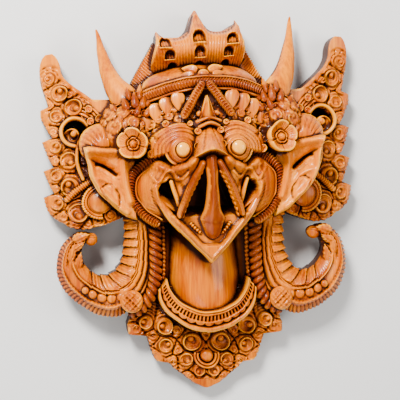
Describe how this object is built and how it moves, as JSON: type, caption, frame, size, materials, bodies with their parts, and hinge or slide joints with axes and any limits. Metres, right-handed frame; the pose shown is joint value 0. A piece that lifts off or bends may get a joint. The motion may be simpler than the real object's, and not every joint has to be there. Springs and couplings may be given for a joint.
{
  "type": "carved wooden garuda mask",
  "caption": "Carved wooden mask of a horned bird face with winged ear ornaments, open beak, scrolled limbs and a leaf apron, flat at the back for a wall.",
  "frame": {"origin": "middle of the outline, on the plane of the flat back", "axes": "+X to the right across the mask as seen from its front, +Y up the mask to the crest tip, +Z out of the face, so it lies on its back"},
  "size_m": [0.31, 0.377, 0.131],
  "materials": {
    "carved_wood": "satin"
  },
  "bodies": {
    "root": {"mask": "carved_wood"}
  },
  "joints": []
}
